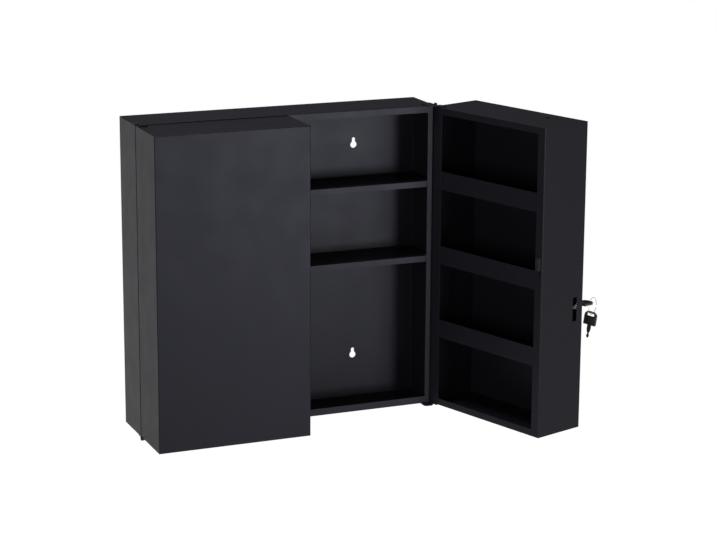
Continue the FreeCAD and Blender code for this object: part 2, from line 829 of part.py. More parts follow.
def key_ring_and_spare(door):
    """Ring through the slot of the key's bow, and the spare key that hangs from the ring."""
    x, y, z = lock_offset(door)
    reach = s.ring_radius * s.ring_tilt.cos()
    drop = s.ring_radius * s.ring_tilt.sin()
    centre_x = x - s.ring_shift + reach * s.ring_turn.sin()
    centre_y = y - bow_slot_middle - reach * s.ring_turn.cos()
    centre_z = z - drop

    corner_angles = [
        Size.of(FULL_TURN * (side + HALF_STEP_SHARE) / RING_WIRE_SIDES) for side in range(RING_WIRE_SIDES)
    ]
    wire = [
        (s.ring_wire_radius * angle.cos(), s.ring_radius + s.ring_wire_radius * angle.sin())
        for angle in corner_angles
    ]
    ring = turned("key_ring", "XY_Plane", (0, 0, 0), wire, axis="H_Axis")
    hang(door, ring, centre_x, centre_y, centre_z)

    bow_top = s.ring_wire_radius + s.ring_seat_gap + s.bow_bar
    root = bow_top - s.bow_length
    wire_z = centre_z - s.ring_radius
    half_bow = s.bow_thickness / 2
    bow = padded("spare_key_bow", "XZ_Plane", (0, 0, -half_bow), hanging(bow_loops(), root), s.bow_thickness)

    def flat(point):
        lean = math.radians(s.spare_lean.amount)
        across = point.x * math.cos(lean) + point.z * math.sin(lean)
        along = point.z * math.cos(lean) - point.x * math.sin(lean)
        return (across - s.spare_shift.amount, along - root.amount)

    soften_bow(bow, Vector(0, 1, 0), flat)
    hang(door, bow, centre_x, centre_y, wire_z)
    half_blade = s.blade_thickness / 2
    blade_root = root - s.shoulder_length
    blade = padded(
        "spare_key_blade", "XZ_Plane", (0, 0, -half_blade), hanging([blade_outline()], blade_root),
        s.blade_thickness,
    )
    hang(door, blade, centre_x, centre_y, wire_z)


def hanging(loops, root):
    """Loops turned upside down below a root, moved along the slot and leaned about the ring's wire."""
    lean_sin = s.spare_lean.sin()
    lean_cos = s.spare_lean.cos()
    lowered = [[(s.spare_shift + x, root - y) for x, y in loop] for loop in loops]
    return [[(x * lean_cos - z * lean_sin, x * lean_sin + z * lean_cos) for x, z in loop] for loop in lowered]


def build():
    """Make every sub-part of the cabinet."""
    left = Door("left", SIDES["left"], s.left_door_angle)
    right = Door("right", SIDES["right"], s.right_door_angle)
    carcass()
    back_panel()
    body_shelf("upper_shelf", upper_shelf_top)
    body_shelf("lower_shelf", lower_shelf_top, *rivet_holes("shelf", lower_shelf_top, lower_shelf_top))
    catch_post()
    for side_name in SIDES:
        for end_name in ENDS:
            body_hinge(side_name, end_name)
    door_shell(left)
    door_shell(right, lock_hole(right))
    for door in (left, right):
        for level in door_shelf_shares:
            door_shelf(door, level)
        for end_name in ENDS:
            door_hinge_plate(door, end_name)
        magnet_catch(door)
    lock_barrel(right)
    lock_plug(right)
    lock_cam(right)
    key(right)
    key_ring_and_spare(right)


def write():
    """Check every object and write each sub-part to its own file."""
    doc.recompute()
    failed = [item.Name for item in doc.Objects if {"Invalid", "Error"} & set(item.State)]
    if failed:
        raise RuntimeError(f"objects failed: {failed}")
    unsound = [item.Label for item in nodes if item.Shape.isNull() or not item.Shape.isValid()]
    if unsound:
        raise RuntimeError(f"shapes not valid: {unsound}")
    os.makedirs("parts", exist_ok=True)
    for item in nodes:
        item.Shape.exportStep(f"parts/{item.Label}.step")
        print(f"{item.Label}: {len(item.Shape.Solids)} solid, {item.Shape.Volume:.1f} mm3")


build()
write()
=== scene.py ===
"""Dressed model of a black steel medicine cabinet with two box doors, a cam lock and its keys.

Lengths are in metres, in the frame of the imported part: the origin is at the centre of the back face, X runs
to the right, Y into the wall and Z up.
"""

from __future__ import annotations

import json
import logging
import math
from dataclasses import dataclass, field, replace
from enum import Enum
from typing import Sequence

import bpy
import numpy
from mathutils import Matrix, Vector

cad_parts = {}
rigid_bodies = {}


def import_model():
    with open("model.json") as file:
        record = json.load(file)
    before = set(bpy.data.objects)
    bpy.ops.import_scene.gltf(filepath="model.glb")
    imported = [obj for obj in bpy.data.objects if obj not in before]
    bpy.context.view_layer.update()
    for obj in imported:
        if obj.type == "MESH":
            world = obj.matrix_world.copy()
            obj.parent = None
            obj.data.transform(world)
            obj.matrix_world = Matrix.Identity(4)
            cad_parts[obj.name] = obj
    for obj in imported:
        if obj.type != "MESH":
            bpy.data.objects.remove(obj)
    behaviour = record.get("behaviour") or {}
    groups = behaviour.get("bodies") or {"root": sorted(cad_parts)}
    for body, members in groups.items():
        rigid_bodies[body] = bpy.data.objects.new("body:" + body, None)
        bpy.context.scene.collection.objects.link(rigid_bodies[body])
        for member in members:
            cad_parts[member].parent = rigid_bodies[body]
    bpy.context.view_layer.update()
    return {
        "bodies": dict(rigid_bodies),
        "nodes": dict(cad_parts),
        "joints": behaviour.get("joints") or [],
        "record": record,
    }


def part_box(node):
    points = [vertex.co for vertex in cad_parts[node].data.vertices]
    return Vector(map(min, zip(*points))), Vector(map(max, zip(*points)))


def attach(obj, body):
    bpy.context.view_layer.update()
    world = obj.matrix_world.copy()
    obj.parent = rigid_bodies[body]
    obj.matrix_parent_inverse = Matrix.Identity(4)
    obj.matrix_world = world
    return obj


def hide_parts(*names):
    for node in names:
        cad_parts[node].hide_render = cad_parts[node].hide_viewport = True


Colour = tuple[float, float, float]
Place = tuple[float, float, float]
Profile = Sequence[tuple[float, float]]

LOG = logging.getLogger("medicine_cabinet")
MM = 0.001
MERGE_REACH = 0.01 * MM
FLAT_ANGLE = math.radians(0.2)
SMOOTH_ANGLE = math.radians(24)
BEVEL_ANGLE = math.radians(38)
FINE_EDGE = 0.12 * MM
CORNER_SEGMENTS = 5
NOISE_LOW, NOISE_HIGH = 0.35, 0.65
COLOUR_STOPS = (0.35, 0.68)
UP: Place = (0.0, 0.0, 1.0)
DOWN: Place = (0.0, 0.0, -1.0)
SPARE_LEAN = math.radians(8)
WHITE: Colour = (1.0, 1.0, 1.0)
COOL: Colour = (0.84, 0.86, 1.0)


class Body(Enum):
    """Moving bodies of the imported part."""

    CABINET = "cabinet"
    LEFT_DOOR = "left_door"
    RIGHT_DOOR = "right_door"
    LOCK_CORE = "lock_core"
    KEY = "key"
    KEY_RING = "key_ring"
    SPARE_KEY = "spare_key"


class Slot(Enum):
    """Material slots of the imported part."""

    COAT = "black_coat"
    LOCK = "plated_lock"
    KEY = "nickel_key"
    STEEL = "bare_steel"
    BOW = "key_plastic"
    CATCH = "catch_plastic"
    MAGNET = "magnet"


class Side(Enum):
    """The two doors, by the side that they hang on."""

    LEFT = "left"
    RIGHT = "right"

    @property
    def door(self) -> Body:
        """Body of the door that hangs on this side."""
        return Body.LEFT_DOOR if self is Side.LEFT else Body.RIGHT_DOOR


class Combine(Enum):
    """Ways to combine a piece with a tool."""

    CUT = "DIFFERENCE"
    KEEP = "INTERSECT"


class Graph:
    """Node tree that is filled from empty."""

    def __init__(self, tree: bpy.types.NodeTree) -> None:
        """Clear a tree and hold it."""
        self.tree = tree
        tree.nodes.clear()

    def node(self, kind: str, inputs: dict[str, object] | None = None,
             **settings: object) -> bpy.types.Node:
        """Add a node.

        Args:
            kind: Blender's name of the node type.
            inputs: values for its sockets, or output sockets to link to them.
            settings: values for its properties.

        Returns:
            The new node.
        """
        made = self.tree.nodes.new(kind)
        for name, value in settings.items():
            setattr(made, name, value)
        for name, value in (inputs or {}).items():
            self.feed(made.inputs[name], value)
        return made

    def feed(self, socket: bpy.types.NodeSocket, value: object) -> None:
        """Set a socket, or link it where the value is another node's output."""
        if isinstance(value, bpy.types.NodeSocket):
            self.tree.links.new(value, socket)
        else:
            socket.default_value = value

    def noise(self, place: bpy.types.NodeSocket, grain: float,
              detail: float) -> bpy.types.NodeSocket:
        """Add a noise.

        Args:
            place: coordinates that it reads.
            grain: size of its cells, in metres.
            detail: number of finer layers.

        Returns:
            Its grey output.
        """
        made = self.node("ShaderNodeTexNoise", {
            "Vector": place, "Scale": 1 / grain, "Detail": detail,
        })
        return made.outputs["Fac"]

    def span(self, source: bpy.types.NodeSocket, low: float, high: float) -> bpy.types.NodeSocket:
        """Spread the middle of a noise over the values from low to high."""
        made = self.node("ShaderNodeMapRange", {
            "Value": source, "From Min": NOISE_LOW, "From Max": NOISE_HIGH,
            "To Min": low, "To Max": high,
        })
        return made.outputs["Result"]

    def bump(self, height: bpy.types.NodeSocket, relief: float, share: float,
             below: bpy.types.NodeSocket | None = None) -> bpy.types.NodeSocket:
        """Add a bump.

        Args:
            height: grey values of the relief.
            relief: its height, in metres.
            share: how much of it shows.
            below: normal that it is laid over.

        Returns:
            The bumped normal.
        """
        made = self.node("ShaderNodeBump", {
            "Height": height, "Distance": relief, "Strength": share,
        })
        if below is not None:
            self.feed(made.inputs["Normal"], below)
        return made.outputs["Normal"]


@dataclass(frozen=True)
class Finish:
    """Surface with a fine relief and uneven gloss. The kinds of finish below add what they show.

    The width of the gloss's patches and of the wave under the relief are multiples of the grain, and the
    wave's height is a multiple of the relief. A share is how much of a relief shows.
    """

    slot: Slot
    colour: Colour
    second_colour: Colour
    rough_low: float
    rough_high: float
    grain: float
    relief: float
    metal: float = 0.0
    index: float = 1.5
    label: str = ""
    tint: Colour = WHITE
    gloss_patch: float = 40
    wave_width: float = 6
    wave_height: float = 2
    wave_share: float = 0.3
    relief_share: float = 0.5

    def pattern(self, graph: Graph, place: bpy.types.NodeSocket) -> bpy.types.NodeSocket:
        """Grey pattern that the colour and the relief follow."""
        return graph.noise(place, self.grain, detail=3)

    def material(self) -> bpy.types.Material:
        """Make the finish's material, once.

        Returns:
            The material, named by the finish's label or else for its slot.
        """
        name = f"{self.label or self.slot.value}_finish"
        made = bpy.data.materials.get(name)
        if made is not None:
            return made
        made = bpy.data.materials.new(name)
        made.use_nodes = True
        graph = Graph(made.node_tree)
        place = graph.node("ShaderNodeTexCoord").outputs["Object"]
        pattern = self.pattern(graph, place)
        colours = graph.node("ShaderNodeValToRGB", {"Fac": pattern})
        ends = zip(colours.color_ramp.elements, COLOUR_STOPS, (self.colour, self.second_colour))
        for stop, position, colour in ends:
            stop.position = position
            stop.color = (*colour, 1)
        patches = graph.noise(place, self.grain * self.gloss_patch, detail=4)
        shader = graph.node("ShaderNodeBsdfPrincipled", {
            "Base Color": colours.outputs["Color"], "Metallic": self.metal, "IOR": self.index,
            "Roughness": graph.span(patches, self.rough_low, self.rough_high),
            "Specular Tint": (*self.tint, 1),
            "Normal": self.relief_normal(graph, place, pattern),
        })
        graph.node("ShaderNodeOutputMaterial", {"Surface": shader.outputs["BSDF"]})
        return made

    def relief_normal(self, graph: Graph, place: bpy.types.NodeSocket,
                      pattern: bpy.types.NodeSocket) -> bpy.types.NodeSocket:
        """Normal of the fine relief: the pattern over a wider wave."""
        swell = graph.noise(place, self.grain * self.wave_width, detail=1)
        wave = graph.bump(swell, self.relief * self.wave_height, self.wave_share)
        return graph.bump(pattern, self.relief, self.relief_share, wave)

    def dress(self, piece: bpy.types.Object) -> None:
        """Give a piece this finish and nothing else."""
        piece.data.materials.clear()
        piece.data.materials.append(self.material())


@dataclass(frozen=True)
class PowderCoat(Finish):
    """Baked powder coat: a fine orange peel on a slightly wavy sheet."""

    relief_share: float = 0.4
    peel: float = 0.5 * MM
    sheet_wave: float = 60 * MM
    sheet_relief: float = 0.03 * MM
    sheet_share: float = 0.25

    def relief_normal(self, graph: Graph, place: bpy.types.NodeSocket,
                      pattern: bpy.types.NodeSocket) -> bpy.types.NodeSocket:
        """Normal of the orange peel over the sheet's slight waviness."""
        swell = graph.noise(place, self.sheet_wave, detail=1)
        sheet = graph.bump(swell, self.sheet_relief, self.sheet_share)
        cells = graph.noise(place, self.peel, detail=2)
        peel = graph.bump(cells, self.relief / 2, self.relief_share, sheet)
        return graph.bump(pattern, self.relief, self.relief_share, peel)


@dataclass(frozen=True)
class DrawnMetal(Finish):
    """Bright metal with fine streaks along one axis."""

    stretch: Place = (1.0, 1.0, 1.0)

    def pattern(self, graph: Graph, place: bpy.types.NodeSocket) -> bpy.types.NodeSocket:
        """Noise drawn out into streaks."""
        drawn = graph.node("ShaderNodeMapping", {"Vector": place, "Scale": self.stretch})
        return graph.noise(drawn.outputs["Vector"], self.grain, detail=3)


BODY_COAT = PowderCoat(
    Slot.COAT, colour=(0.0046, 0.0047, 0.0064), second_colour=(0.0061, 0.0062, 0.0085),
    rough_low=0.43, rough_high=0.47, grain=1.1 * MM, relief=0.05 * MM,
    index=1.21, label="body_coat", tint=COOL,
)
# Painted shade: the doors get the body's own coat with a lower index, so their reflections are weaker and
# they render darker than the body, though body and doors wear the same coat.
DOOR_COAT_WITH_PAINTED_SHADE = replace(BODY_COAT, index=1.19, label="door_coat_painted_shade")
LOCK_PLATING = DrawnMetal(
    Slot.LOCK, colour=(0.18, 0.18, 0.19), second_colour=(0.24, 0.24, 0.25),
    rough_low=0.16, rough_high=0.28, grain=0.4 * MM, relief=0.01 * MM,
    metal=1.0, stretch=(1.0, 0.12, 1.0),
)
KEY_NICKEL = DrawnMetal(
    Slot.KEY, colour=(0.24, 0.235, 0.225), second_colour=(0.32, 0.315, 0.30),
    rough_low=0.2, rough_high=0.34, grain=0.3 * MM, relief=0.012 * MM,
    metal=1.0, stretch=(1.0, 0.15, 1.0),
)
BARE_STEEL = DrawnMetal(
    Slot.STEEL, colour=(0.30, 0.30, 0.30), second_colour=(0.37, 0.37, 0.36),
    rough_low=0.28, rough_high=0.42, grain=0.5 * MM, relief=0.012 * MM,
    metal=1.0, stretch=(0.1, 1.0, 1.0),
)
BOW_PLASTIC = Finish(
    Slot.BOW, colour=(0.011, 0.011, 0.012), second_colour=(0.017, 0.017, 0.018),
    rough_low=0.30, rough_high=0.42, grain=0.25 * MM, relief=0.015 * MM,
)
CATCH_PLASTIC = Finish(
    Slot.CATCH, colour=(0.008, 0.008, 0.009), second_colour=(0.012, 0.012, 0.013),
    rough_low=0.4, rough_high=0.55, grain=0.3 * MM, relief=0.02 * MM, index=1.15,
)
MAGNET = Finish(
    Slot.MAGNET, colour=(0.008, 0.008, 0.008), second_colour=(0.014, 0.014, 0.013),
    rough_low=0.5, rough_high=0.68, grain=0.4 * MM, relief=0.03 * MM, index=1.15,
)


class Bench:
    """Modelling steps, each by Blender's own operators."""

    @staticmethod
    def clear() -> None:
        """Deselect everything."""
        bpy.ops.object.select_all(action="DESELECT")

    @staticmethod
    def pick(piece: bpy.types.Object) -> None:
        """Select one object alone and make it active."""
        Bench.clear()
        piece.select_set(True)
        bpy.context.view_layer.objects.active = piece

    @staticmethod
    def edit(piece: bpy.types.Object, mode: str) -> None:
        """Open an object in edit mode, with everything on it deselected."""
        Bench.pick(piece)
        bpy.ops.object.mode_set(mode="EDIT")
        bpy.ops.mesh.select_mode(type=mode)
        bpy.ops.mesh.select_all(action="DESELECT")

    @staticmethod
    def close() -> None:
        """Leave edit mode."""
        bpy.ops.object.mode_set(mode="OBJECT")

    @staticmethod
    def double(name: str, source: bpy.types.Object) -> bpy.types.Object:
        """Add an object, at the origin, with its own copy of another's mesh."""
        piece = bpy.data.objects.new(name, source.data.copy())
        bpy.context.scene.collection.objects.link(piece)
        piece.data.name = name
        return piece

    @staticmethod
    def added(name: str) -> bpy.types.Object:
        """Name the object that was just added, and its mesh."""
        piece = bpy.context.object
        piece.name = name
        piece.data.name = name
        return piece

    @staticmethod
    def copy(name: str, source: bpy.types.Object) -> bpy.types.Object:
        """Copy an object's mesh into a new object, with its loose triangles joined up.

        Args:
            name: name of the copy.
            source: object that is copied.

        Returns:
            The copy, at the origin.
        """
        piece = Bench.double(name, source)
        Bench.pick(piece)
        bpy.ops.mesh.customdata_custom_splitnormals_clear()
        bpy.ops.object.mode_set(mode="EDIT")
        bpy.ops.mesh.select_all(action="SELECT")
        bpy.ops.mesh.remove_doubles(threshold=MERGE_REACH)
        bpy.ops.mesh.tris_convert_to_quads(face_threshold=FLAT_ANGLE, shape_threshold=math.pi)
        Bench.close()
        return piece

    @staticmethod
    def twin(name: str, source: bpy.types.Object, move: Matrix) -> bpy.types.Object:
        """Copy a finished piece to another place, with its own mesh.

        Args:
            name: name of the copy.
            source: piece that repeats.
            move: how the copy is turned and moved.

        Returns:
            The copy, at the origin.
        """
        return Bench.settle(Bench.double(name, source), move)

    @staticmethod
    def settle(piece: bpy.types.Object, move: Matrix) -> bpy.types.Object:
        """Move an object and put the move into its mesh."""
        piece.matrix_world = move
        Bench.pick(piece)
        bpy.ops.object.transform_apply(location=True, rotation=True, scale=True)
        return piece

    @staticmethod
    def bevel(piece: bpy.types.Object, width: float, segments: int = 2) -> None:
        """Ease every sharp edge of an object by a width."""
        Bench.pick(piece)
        bpy.ops.object.modifier_add(type="BEVEL")
        bevel = piece.modifiers[-1]
        bevel.width = width
        bevel.segments = segments
        bevel.limit_method = "ANGLE"
        bevel.angle_limit = BEVEL_ANGLE
        bevel.use_clamp_overlap = False
        bevel.miter_outer = "MITER_ARC"
        bpy.ops.object.modifier_apply(modifier=bevel.name)

    @staticmethod
    def combine(piece: bpy.types.Object, how: Combine, tool: bpy.types.Object) -> None:
        """Cut a tool out of an object, or keep what it shares with it, and delete the tool."""
        Bench.pick(piece)
        bpy.ops.object.modifier_add(type="BOOLEAN")
        boolean = piece.modifiers[-1]
        boolean.operation = how.value
        boolean.solver = "EXACT"
        boolean.object = tool
        bpy.ops.object.modifier_apply(modifier=boolean.name)
        bpy.data.meshes.remove(tool.data)

    @staticmethod
    def block(centre: Place, size: Place, corner: float = 0.0) -> bpy.types.Object:
        """Block for cutting.

        Args:
            centre: its middle.
            size: its widths along the three axes.
            corner: radius of its corners, seen along Z.

        Returns:
            The block, square to the axes.
        """
        Bench.clear()
        bpy.ops.mesh.primitive_cube_add(size=1, location=centre, scale=size)
        made = bpy.context.object
        bpy.ops.object.transform_apply(location=True, rotation=True, scale=True)
        if corner:
            Bench.edit(made, "EDGE")
            Bench.close()
            points = made.data.vertices
            for edge in made.data.edges:
                first, second = (points[index].co for index in edge.vertices)
                edge.select = abs(first.z - second.z) > size[2] / 2
            bpy.ops.object.mode_set(mode="EDIT")
            bpy.ops.mesh.bevel(offset=corner, segments=CORNER_SEGMENTS)
            Bench.close()
        return made

    @staticmethod
    def extent(piece: bpy.types.Object, frame: Matrix) -> tuple[Vector, Vector]:
        """Lowest and highest corners of an object, measured in a frame of its own."""
        inward = frame.inverted()
        places = numpy.array([inward @ point.co for point in piece.data.vertices])
        return Vector(places.min(axis=0)), Vector(places.max(axis=0))

    @staticmethod
    def smooth(piece: bpy.types.Object) -> None:
        """Shade rounded parts smooth, with flat faces kept flat."""
        Bench.pick(piece)
        bpy.ops.object.shade_smooth_by_angle(angle=SMOOTH_ANGLE)
        bpy.ops.object.modifier_add(type="WEIGHTED_NORMAL")
        weigh = piece.modifiers[-1]
        weigh.keep_sharp = True
        bpy.ops.object.modifier_apply(modifier=weigh.name)

    @staticmethod
    def turned(name: str, profile: Profile, hollow: bool = False,
               sides: int = 48) -> bpy.types.Object:
        """Turn a profile about Z, ring by ring.

        Args:
            name: name of the piece.
            profile: radius and height of each ring, from one end to the other.
            hollow: whether the last ring joins the first, which leaves a bore.
            sides: number of faces round it.

        Returns:
            A closed shape on the Z axis.
        """
        Bench.clear()
        radius, height = profile[0]
        bpy.ops.mesh.primitive_circle_add(
            vertices=sides, radius=radius, location=(0, 0, height),
            fill_type="NOTHING" if hollow else "NGON",
        )
        piece = Bench.added(name)
        bpy.ops.object.transform_apply(location=True, rotation=True, scale=True)
        bpy.ops.object.mode_set(mode="EDIT")
        bpy.ops.mesh.select_mode(type="EDGE" if hollow else "FACE")
        bpy.ops.mesh.select_all(action="SELECT")
        rings = [*profile, profile[0]] if hollow else profile
        for (last_radius, last_height), (radius, height) in zip(rings, rings[1:]):
            bpy.ops.mesh.extrude_region_move(
                TRANSFORM_OT_translate={"value": (0, 0, height - last_height)}
            )
            share = radius / last_radius
            bpy.ops.transform.resize(value=(share, share, 1), center_override=(0, 0, height))
        bpy.ops.mesh.select_all(action="SELECT")
        bpy.ops.mesh.remove_doubles(threshold=MERGE_REACH)
        bpy.ops.mesh.normals_make_consistent(inside=False)
        Bench.close()
        return piece

    @staticmethod
    def coiled(name: str, section: Profile, pitch: float, turns: int,
               steps: int = 72) -> bpy.types.Object:
        """Wind a wire about Z.

        Args:
            name: name of the piece.
            section: radius and height of the corners of the wire's section.
            pitch: rise of each turn.
            turns: number of turns.
            steps: number of steps in a turn.

        Returns:
            The closed coil.
        """
        Bench.clear()
        bpy.ops.mesh.primitive_circle_add(vertices=len(section), radius=1, fill_type="NOTHING")
        piece = Bench.added(name)
        for point, (radius, height) in zip(piece.data.vertices, section):
            point.co = (radius, 0, height)
        bpy.ops.object.modifier_add(type="SCREW")
        screw = piece.modifiers[-1]
        screw.axis = "Z"
        screw.screw_offset = pitch
        screw.iterations = turns
        screw.steps = steps
        screw.render_steps = steps
        bpy.ops.object.modifier_apply(modifier=screw.name)
        bpy.ops.object.mode_set(mode="EDIT")
        bpy.ops.mesh.select_all(action="SELECT")
        bpy.ops.mesh.remove_doubles(threshold=MERGE_REACH)
        bpy.ops.mesh.fill_holes(sides=len(section))
        bpy.ops.mesh.select_all(action="SELECT")
        bpy.ops.mesh.normals_make_consistent(inside=False)
        Bench.close()
        return piece


def scaled(profile: Profile) -> list[tuple[float, float]]:
    """Profile in metres, from one in millimetres."""
    return [(radius * MM, height * MM) for radius, height in profile]


def axis_frame(place: Sequence[float], ahead: Sequence[float], through: Sequence[float],
               along: str = "Z") -> Matrix:
    """Frame at a place.

    Args:
        place: its origin.
        ahead: direction of its main axis.
        through: direction of its second axis, square to the first.
        along: name of the main axis: Z with Y second, or Y with Z second.

    Returns:
        The right-handed frame.
    """
    first, second = Vector(ahead).normalized(), Vector(through).normalized()
    if along == "Z":
        rows = (second.cross(first), second, first)
    else:
        rows = (first.cross(second), first, second)
    return Matrix.Translation(place) @ Matrix(rows).transposed().to_4x4()


@dataclass
class SubAssembly:
    """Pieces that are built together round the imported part."""

    nodes: dict[str, bpy.types.Object]
    edge: float = 0.25 * MM
    made: list[bpy.types.Object] = field(default_factory=list)

    def fit(self, piece: bpy.types.Object, body: Body, finish: Finish, *nodes: str) -> None:
        """Dress a piece and set it on its body.

        Args:
            piece: finished shape.
            body: body that it moves with.
            finish: its surface.
            nodes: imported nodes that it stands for.
        """
        finish.dress(piece)
        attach(piece, body.value)
        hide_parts(*nodes)
        self.made.append(piece)

    def folded(self, node: str, body: Body, finish: Finish, width: float | None = None) -> None:
        """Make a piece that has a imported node's shape, with its cut edges eased.

        Args:
            node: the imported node.
            body: body that it moves with.
            finish: its surface.
            width: width of the eased edges, where it isn't the usual one.
        """
        piece = Bench.copy(f"{node}_piece", self.nodes[node])
        Bench.bevel(piece, width or self.edge)
        Bench.smooth(piece)
        self.fit(piece, body, finish, node)


@dataclass
class CabinetBody(SubAssembly):
    """Wrapper, back panel, shelves and catch post, all fixed to the wall.

    The rivet's sizes are radius and height of each ring in millimetres, from its flattened tail up to the
    dimple in its head.
    """

    rivet: Profile = (
        (1.6, 0.0), (2.5, 0.08), (2.9, 0.3), (3.0, 0.6), (3.0, 1.0), (2.0, 1.0), (2.0, 3.5),
        (3.4, 3.5), (3.5, 3.7), (3.42, 4.1), (3.1, 4.55), (2.5, 4.9), (1.8, 5.08), (1.25, 5.1),
        (1.1, 5.0), (1.0, 4.7),
    )
    rivet_sides: int = 32

    def build(self) -> None:
        """Make every piece of the body."""
        for node in ("carcass", "back_panel", "upper_shelf", "lower_shelf", "catch_post"):
            self.folded(node, Body.CABINET, BODY_COAT)
        self.folded("strike_plate", Body.CABINET, BARE_STEEL)
        self.rivets()

    def rivets(self) -> None:
        """Blind rivets that hold the catch post's foot to the shelf."""
        model = Bench.turned("rivet_model", scaled(self.rivet), sides=self.rivet_sides)
        Bench.smooth(model)
        for side in Side:
            node = f"post_rivet_{side.value}"
            low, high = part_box(node)
            place = Matrix.Translation(((low[0] + high[0]) / 2, (low[1] + high[1]) / 2, low[2]))
            self.fit(Bench.twin(f"{node}_piece", model, place), Body.CABINET, BODY_COAT, node)
        bpy.data.meshes.remove(model.data)


@dataclass
class BoxDoor(SubAssembly):
    """Door box with its three shelves and its magnet catch."""

    side: Side = Side.LEFT

    def build(self) -> None:
        """Make every piece of the door."""
        side, body = self.side.value, self.side.door
        # The door's pieces take the coat with the painted shade: weaker reflections than the body's same
        # coat.
        self.folded(f"{side}_door_shell", body, DOOR_COAT_WITH_PAINTED_SHADE)
        for level in ("low", "middle", "high"):
            self.folded(f"{side}_door_shelf_{level}", body, DOOR_COAT_WITH_PAINTED_SHADE)
        self.folded(f"{side}_catch_housing", body, CATCH_PLASTIC)
        self.folded(f"{side}_magnet", body, MAGNET)


@dataclass
class CornerHinges(SubAssembly):
    """Four corner hinges: a plate on the body, a plate on the door and a headed pin through both.

    The pin's sizes are radius and height of each ring in millimetres, from the end of its shank up to its
    domed head.
    """

    pin: Profile = (
        (1.45, 0.0), (1.75, 0.3), (1.75, 2.9), (2.85, 2.9), (3.0, 3.05), (3.0, 4.3), (2.9, 4.8),
        (2.6, 5.25), (2.1, 5.6), (1.4, 5.82), (0.7, 5.9),
    )
    pin_sides: int = 40

    def build(self) -> None:
        """Make every plate and pin."""
        model = Bench.turned("pin_model", scaled(self.pin), sides=self.pin_sides)
        Bench.smooth(model)
        for side in Side:
            for end in ("top", "bottom"):
                self.folded(f"{side.value}_{end}_hinge_plate", Body.CABINET, BODY_COAT)
                # The door's hinge plate takes the coat with the painted shade: weaker reflections than the
                # body's same coat.
                self.folded(f"{side.value}_door_{end}_hinge_plate", side.door, DOOR_COAT_WITH_PAINTED_SHADE)
                self.set_pin(model, f"{side.value}_{end}_hinge_pin", end == "bottom")
        bpy.data.meshes.remove(model.data)

    def set_pin(self, model: bpy.types.Object, node: str, inverted: bool) -> None:
        """Set a copy of the pin in its hole, head down where it is inverted."""
        low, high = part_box(node)
        foot = high[2] if inverted else low[2]
        place = Matrix.Translation(((low[0] + high[0]) / 2, (low[1] + high[1]) / 2, foot))
        if inverted:
            place = place @ Matrix.Rotation(math.pi, 4, "X")
        self.fit(Bench.twin(f"{node}_piece", model, place), Body.CABINET, BODY_COAT, node)


